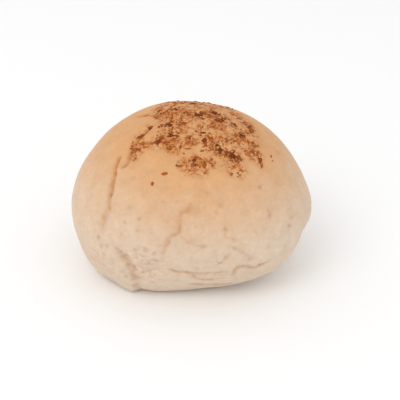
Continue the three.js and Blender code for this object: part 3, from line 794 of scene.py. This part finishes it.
def ring(radius, angle, height):
    """Corners about the z axis: (radius cos angle, radius sin angle, height)."""
    return np.stack([radius * np.cos(angle), radius * np.sin(angle), height], axis=-1)


def pole(height):
    """A corner on the z axis for each height: (count, 1, 3)."""
    return height[:, None, None] * (0, 0, 1)


def node(tree, kind, inputs=None, **settings):
    """A node of one kind with its settings, and its inputs, by name or number, as values or as links."""
    made = tree.nodes.new("ShaderNode" + kind)
    for name, value in settings.items():
        setattr(made, name, value)
    for name, value in (inputs or {}).items():
        if isinstance(value, bpy.types.NodeSocket):
            tree.links.new(value, made.inputs[name])
        else:
            made.inputs[name].default_value = value
    return made


def blended(tree, share, first, second):
    """The colour at a share of the way from the first to the second."""
    return node(tree, "Mix", {0: share, 6: first, 7: second}, data_type="RGBA").outputs[2]


def tinted(tree, colour, shade):
    """A colour times a shade."""
    inputs = {0: 1.0, 6: colour, 7: shade}
    return node(tree, "Mix", inputs, data_type="RGBA", blend_type="MULTIPLY").outputs[2]


def worked(tree, kind, first, second):
    """A sum, product or other result of two numbers."""
    return node(tree, "Math", {0: first, 1: second}, operation=kind).outputs[0]


def times(tree, first, second):
    """The product of two numbers."""
    return worked(tree, "MULTIPLY", first, second)


def shared(tree, name):
    """The value stored under a name at each corner."""
    return node(tree, "Attribute", attribute_name=name).outputs["Fac"]


def ramp(tree, share, stops):
    """The colour at a share along a ramp of three stops, each a place and a colour."""
    made = node(tree, "ValToRGB", {"Fac": share})
    made.color_ramp.elements.new(0.5)
    for stop, (place, colour) in zip(made.color_ramp.elements, stops):
        stop.position = place
        stop.color = colour
    return made.outputs["Color"]


def grain_group():
    """Shader group for baked grain: noise of a given wave in metres. Shade is 1 with a given contrast to
    each side, and Height is the noise itself."""
    group = bpy.data.node_groups.get("baked_grain")
    if group is not None:
        return group
    group = bpy.data.node_groups.new("baked_grain", "ShaderNodeTree")
    for name, kind in (("Place", "Vector"), ("Wave", "Float"), ("Contrast", "Float")):
        group.interface.new_socket(name, in_out="INPUT", socket_type="NodeSocket" + kind)
    given = group.nodes.new("NodeGroupInput").outputs
    scale = worked(group, "DIVIDE", 1.0, given["Wave"])
    inputs = {"Vector": given["Place"], "Scale": scale, "Detail": 4.0, "Roughness": 0.6}
    height = node(group, "TexNoise", inputs).outputs["Fac"]
    swing = times(group, worked(group, "SUBTRACT", height, 0.5), given["Contrast"])
    shade = worked(group, "ADD", times(group, swing, 4.0), 1.0)
    result = group.nodes.new("NodeGroupOutput")
    for name, value in (("Shade", shade), ("Height", height)):
        group.interface.new_socket(name, in_out="OUTPUT", socket_type="NodeSocketFloat")
        group.links.new(value, result.inputs[name])
    return group


def grain(tree, place, wave, contrast):
    """The baked grain group placed in a material with its own wave in millimetres and contrast."""
    made = tree.nodes.new("ShaderNodeGroup")
    made.node_tree = grain_group()
    tree.links.new(place, made.inputs["Place"])
    made.inputs["Wave"].default_value = wave * MM
    made.inputs["Contrast"].default_value = contrast
    return made


def new_material(name):
    """A material with only its Principled shader, and the place of each point on the piece."""
    material = bpy.data.materials.get(name) or bpy.data.materials.new(name)
    material.use_nodes = True
    tree = material.node_tree
    tree.nodes.clear()
    shader = node(tree, "BsdfPrincipled")
    node(tree, "OutputMaterial", {"Surface": shader.outputs["BSDF"]})
    return material, tree, shader, node(tree, "TexCoord").outputs["Object"]


def finish(shader, colour, roughness, gloss, height=None, drop=0):
    """Gives a shader its colour, roughness and gloss, and bumps it by a height of so many millimetres."""
    tree = shader.id_data
    tree.links.new(colour, shader.inputs["Base Color"])
    shader.inputs["Roughness"].default_value = roughness
    shader.inputs["Specular IOR Level"].default_value = gloss
    if height is not None:
        bump = node(tree, "Bump", {"Height": height, "Strength": BUMP_STRENGTH, "Distance": drop * MM})
        tree.links.new(bump.outputs["Normal"], shader.inputs["Normal"])


def crust_material(colours):
    """Baked skin: paler and greyer at the base by painted light, cream above it and golden at the crown,
    stained round the flakes, brown in the folds and pits, pale and rough in the tear, and browned
    underneath."""
    material, tree, shader, place = new_material("baked_crust")
    grains = {name: grain(tree, place, *values) for name, values in CRUST_GRAINS.items()}
    shade = {name: made.outputs["Shade"] for name, made in grains.items()}
    height = {name: made.outputs["Height"] for name, made in grains.items()}
    colour = blended(tree, shared(tree, "bake"), colours.belly, colours.crown)
    # Painted light: the skin paler and greyer near the base, where the floor shades it.
    colour = blended(tree, shared(tree, "painted_light"), colour, colours.painted_light_colour)
    stops = [(0.38, colours.stain_light), (0.5, colours.stain), (0.64, colours.stain_dark)]
    stained = times(tree, shared(tree, "stain"), shade["patch"])
    colour = blended(tree, stained, colour, ramp(tree, height["speckle"], stops))
    colour = tinted(tree, colour, shade["mottle"])
    torn = shared(tree, "torn")
    colour = blended(tree, torn, colour, tinted(tree, colours.torn, shade["crumb"]))
    colour = blended(tree, times(tree, shared(tree, "fold"), shade["streak"]), colour, colours.fold)
    colour = blended(tree, shared(tree, "pit"), colour, colours.pit)
    colour = blended(tree, shared(tree, "under"), colour, colours.tray)
    colour = tinted(tree, colour, shade["speckle"])
    rough = times(tree, height["crumb"], times(tree, torn, 0.6))
    relief = worked(tree, "ADD", times(tree, height["speckle"], 0.35), rough)
    finish(shader, colour, roughness=0.65, gloss=0.25, height=relief, drop=0.25)
    return material


def toast_material(colours):
    """Toasted flakes and crumbs: from nearly black brown to tan by each one's own toast value."""
    material, tree, shader, place = new_material("toasted_flakes")
    shade, height = grain(tree, place, wave=0.5, contrast=0.3).outputs
    stops = [(0, colours.toast_dark), (0.55, colours.toast_mid), (1, colours.toast_tan)]
    colour = tinted(tree, ramp(tree, shared(tree, "toast"), stops), shade)
    finish(shader, colour, roughness=0.8, gloss=0.12, height=height, drop=0.15)
    return material


def plain_material(name, colour, wave, contrast, roughness, gloss):
    """A material of one colour with a grain, whose wave is in millimetres."""
    material, tree, shader, place = new_material(name)
    shade, _ = grain(tree, place, wave, contrast).outputs
    finish(shader, tinted(tree, colour, shade), roughness, gloss)
    return material


class ROLL_OT_crust(bpy.types.Operator):
    """Make the roll's crust"""

    bl_idname = "roll.make_crust"
    bl_label = "Crust"

    def execute(self, context):
        shape = context.scene.roll_shape
        toward, faces = ball_of_directions()
        toward = drawn_to_creases(toward)
        corners = crust_places(toward, shape) - roll_middle(shape)
        material = crust_material(context.scene.roll_colours)
        piece = make_piece("crust", corners, faces, material, True)
        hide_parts("roll")
        _, tone = crease_relief(toward, shape.creases)
        set_share(piece, "fold", tone + NETWORK["brown"] * network_share(toward))
        set_share(piece, "pit", pit_tone(toward))
        set_share(piece, "stain", STAIN["share"] * stain_share(toward))
        set_share(piece, "torn", np.maximum(tear_share(toward), spots(toward, [TEAR_SIDE])))
        set_share(piece, "bake", bake_share(toward))
        # Painted light: how much paler and greyer the skin is near the base.
        set_share(piece, "painted_light", painted_light_share(toward))
        set_share(piece, "under", smooth(1 - corners[:, 2] / (BASE_BROWN * MM)))
        return {"FINISHED"}


def flake_chips(flake, swell):
    """Chips of about radius 1: a pole, two rings of corners and another pole. A ring lies out by the sine
    of its slope times a notched and jagged rim, and up by the cosine times a swell and a ragged share."""
    around = np.arange(2 * FLAKE_SIDES)
    rim = swell[:, 1 : 1 + FLAKE_SIDES]
    rim = np.stack([rim, (rim + np.roll(rim, -1, axis=1)) / FLAKE_NOTCH], axis=2).reshape(len(flake), -1)
    rim = rim * between(*FLAKE_JAG, draw(flake[:, None], 20 + around, FLAKE_SEED))
    angle = np.pi + 2 * np.pi * around / len(around)
    rings = []
    for slope, end in zip(np.radians(FLAKE_SLOPES), (0, -1)):
        ragged = between(*FLAKE_RAGGED, draw(flake[:, None], 40 + around, slope))
        rings.append(ring(np.sin(slope) * rim, angle, np.cos(slope) * swell[:, end, None] * ragged))
    return np.concatenate([pole(swell[:, 0]), *rings, pole(-swell[:, -1])], axis=1)


class ROLL_OT_flakes(bpy.types.Operator):
    """Make the large toasted flakes"""

    bl_idname = "roll.make_flakes"
    bl_label = "Flakes"

    def execute(self, context):
        scene, topping = context.scene, context.scene.roll_topping
        clumps = np.repeat(CLUMPS, CLUMPS[:, 4].astype(int), axis=0)
        lone = len(clumps)
        flake = np.arange(lone + len(LONE_FLAKES), dtype=float)
        swell = draw(flake[:, None], np.arange(FLAKE_SIDES + 2), FLAKE_SEED)
        swell = between(1 - FLAKE_UNEVENNESS, 1 + FLAKE_UNEVENNESS, swell)
        drawn = (draw(flake, FLAKE_SIDES + 2 + i, FLAKE_SEED) for i in range(7))
        long, wide, nod, lean, turn, way, out = drawn
        length = between(topping.flake_shortest, topping.flake_longest, long**2)
        width = length * between(*FLAKE_WIDTH, wide)
        turn = 2 * np.pi * turn
        east, north = clump_arcs(clumps, way[:lone], out[:lone], CLUMP_EDGE)
        east, north = np.append(east, LONE_FLAKES[:, 0]), np.append(north, LONE_FLAKES[:, 1])
        length[lone:], width[lone:] = LONE_FLAKES[:, 2] * MM, LONE_FLAKES[:, 3] * MM
        turn[lone:] = np.radians(LONE_FLAKES[:, 4])
        size = np.stack([length, width, np.full_like(length, topping.flake_thickness)], axis=-1)
        chips = flake_chips(flake, swell) * size[:, None] / 2
        chips = turned(chips, FLAKE_TILT * (nod - 0.5), FLAKE_TILT * (lean - 0.5), turn)
        corners = lay_on_crust(chips, east, north, np.full_like(east, FLAKE_PROUD * MM), scene.roll_shape)
        faces = chip_faces(2 * FLAKE_SIDES, 2, len(flake))
        piece = make_piece("flakes", corners, faces, toast_material(scene.roll_colours), False)
        light = draw(flake, 60, FLAKE_SEED)
        light[lone:] = LONE_FLAKE_LIGHT
        set_share(piece, "toast", np.repeat(toast_share(east, north, light), corners.shape[1]))
        return {"FINISHED"}


def shards(number, smallest, largest, slimmest, seed):
    """Small double pyramids, each a ring of corners between two points, and their heights. The square of a
    draw sets the length, a share of it is the width, and a share of that the height."""
    side = np.arange(SHARD["sides"])
    rim = between(*SHARD["rim"], draw(number[:, None], side, seed))
    top = pole(between(*SHARD["point"], draw(number, 6, seed)))
    chips = np.concatenate([top, ring(rim, 2 * np.pi * side / len(side), 0 * rim), -top], axis=1)
    length = between(smallest, largest, draw(number, 7, seed) ** 2)
    width = length * between(slimmest, 1, draw(number, 8, seed))
    height = width * between(*SHARD["flatness"], draw(number, 9, seed))
    chips = chips * np.stack([length, width, height], axis=-1)[:, None] / 2
    nod, lean, turn = (draw(number, 10 + i, seed) for i in range(3))
    return turned(chips, nod - 0.5, lean - 0.5, 2 * np.pi * turn), height


def scatter_shards(name, each, smallest, largest, habit, material, shape):
    """A piece of many shards laid in the clumps, in proportion to their flakes. Some lie further out, and
    those behind the crown lie deeper in the crust."""
    clumps = np.repeat(CLUMPS, (CLUMPS[:, 4] * each).astype(int), axis=0)
    number = np.arange(len(clumps), dtype=float)
    chips, height = shards(number, smallest, largest, habit["slimmest"], habit["seed"])
    way, out, more, light = (draw(number, 20 + i, habit["seed"]) for i in range(4))
    east, north = clump_arcs(clumps, way, out, habit["edge"] * (1 + SHARD["stray"] * more**3))
    proud = height * between(*SHARD["proud"], smooth((north - SHARD["sinks_from"]) / SHARD["sinks_over"]))
    corners = lay_on_crust(chips, east, north, proud, shape)
    piece = make_piece(name, corners, chip_faces(SHARD["sides"], 1, len(clumps)), material, False)
    set_share(piece, "toast", np.repeat(toast_share(east, north, light), corners.shape[1]))


class ROLL_OT_crumbs(bpy.types.Operator):
    """Make the fine toasted crumbs"""

    bl_idname = "roll.make_crumbs"
    bl_label = "Crumbs"

    def execute(self, context):
        scene, topping = context.scene, context.scene.roll_topping
        sizes = (topping.crumb_smallest, topping.crumb_largest)
        material = toast_material(scene.roll_colours)
        scatter_shards("crumbs", topping.crumbs_each, *sizes, CRUMBS, material, scene.roll_shape)
        return {"FINISHED"}


class ROLL_OT_grains(bpy.types.Operator):
    """Make the pale grains"""

    bl_idname = "roll.make_grains"
    bl_label = "Grains"

    def execute(self, context):
        scene, topping = context.scene, context.scene.roll_topping
        sizes = (topping.grain_smallest, topping.grain_largest)
        material = plain_material(
            "pale_grains", scene.roll_colours.grain, wave=0.6, contrast=0.15, roughness=0.7, gloss=0.2
        )
        scatter_shards("grains", topping.grains_each, *sizes, GRAINS, material, scene.roll_shape)
        return {"FINISHED"}


def make_floor(scene, colour):
    """A plain level square under the roll."""
    material = plain_material("plain_floor", colour, wave=60, contrast=0.004, roughness=0.9, gloss=0.5)
    floor = bpy.data.meshes.new("floor")
    corners = [(x * FLOOR_HALF, y * FLOOR_HALF, 0) for x, y in ((-1, -1), (1, -1), (1, 1), (-1, 1))]
    floor.from_pydata(corners, [], [(0, 1, 2, 3)])
    floor.materials.append(material)
    ground = bpy.data.objects.new("floor", floor)
    scene.collection.objects.link(ground)


def make_lights(scene, surround, power):
    """An even white light all round, and a soft round lamp."""
    scene.world = bpy.data.worlds.new("surround")
    scene.world.use_nodes = True
    background = scene.world.node_tree.nodes["Background"].inputs
    background["Color"].default_value = (1, 1, 1, 1)
    background["Strength"].default_value = surround
    key = bpy.data.lights.new("key", "AREA")
    key.shape, key.size, key.energy = "DISK", LAMP["size"], power
    lamp = bpy.data.objects.new("key", key)
    lamp.location = LAMP["place"]
    lamp.rotation_euler = (Vector(LAMP["aim"]) - lamp.location).to_track_quat("-Z", "Y").to_euler()
    scene.collection.objects.link(lamp)


def make_camera(scene, stage):
    """A camera that looks down at the roll: a level one turned down by its lift, then about the line of
    sight by its tilt, and moved along its own axes to the right, up and back."""
    camera = bpy.data.objects.new("camera", bpy.data.cameras.new("camera"))
    camera.data.lens, camera.data.sensor_width = LENS, SENSOR
    camera.data.clip_start = NEAREST_SEEN
    turn = Matrix.Rotation(math.pi / 2 - stage.lift, 3, "X") @ Matrix.Rotation(stage.tilt, 3, "Z")
    place = turn @ Vector((stage.right, stage.up, stage.distance)) - Vector(roll_middle(scene.roll_shape))
    camera.matrix_world = Matrix.LocRotScale(place, turn.to_quaternion(), None)
    scene.collection.objects.link(camera)
    scene.camera = camera


class ROLL_OT_stage(bpy.types.Operator):
    """Make the floor, the lights and the camera"""

    bl_idname = "roll.make_stage"
    bl_label = "Stage"

    def execute(self, context):
        scene, stage = context.scene, context.scene.roll_stage
        scene.view_settings.view_transform = "Standard"
        make_floor(scene, stage.floor)
        make_lights(scene, stage.surround, stage.key)
        make_camera(scene, stage)
        return {"FINISHED"}


class ROLL_PT_panel(bpy.types.Panel):
    """Settings and makers of the bread roll"""

    bl_idname = "ROLL_PT_panel"
    bl_label = "Bread roll"
    bl_space_type = "VIEW_3D"
    bl_region_type = "UI"
    bl_category = "Bread roll"

    def draw(self, context):
        for settings in SETTINGS:
            box = self.layout.box()
            group = getattr(context.scene, settings)
            for name in group.__annotations__:
                box.prop(group, name)
        for operator in OPERATORS:
            self.layout.operator(operator.bl_idname)


SETTINGS = {
    "roll_shape": RollShape,
    "roll_topping": RollTopping,
    "roll_colours": RollColours,
    "roll_stage": RollStage,
}
OPERATORS = (ROLL_OT_crust, ROLL_OT_flakes, ROLL_OT_crumbs, ROLL_OT_grains, ROLL_OT_stage)


def register():
    """Registers the settings, the operators and the panel."""
    for group in (*SETTINGS.values(), *OPERATORS, ROLL_PT_panel):
        bpy.utils.register_class(group)
    for name, group in SETTINGS.items():
        setattr(bpy.types.Scene, name, bpy.props.PointerProperty(type=group))


def unregister():
    """Removes what register adds."""
    for name in SETTINGS:
        delattr(bpy.types.Scene, name)
    for group in (ROLL_PT_panel, *OPERATORS, *SETTINGS.values()):
        bpy.utils.unregister_class(group)


def main():
    """Makes every piece and the stage."""
    register()
    bpy.ops.roll.make_crust()
    bpy.ops.roll.make_flakes()
    bpy.ops.roll.make_crumbs()
    bpy.ops.roll.make_grains()
    bpy.ops.roll.make_stage()


if __name__ == "__main__":
    main()
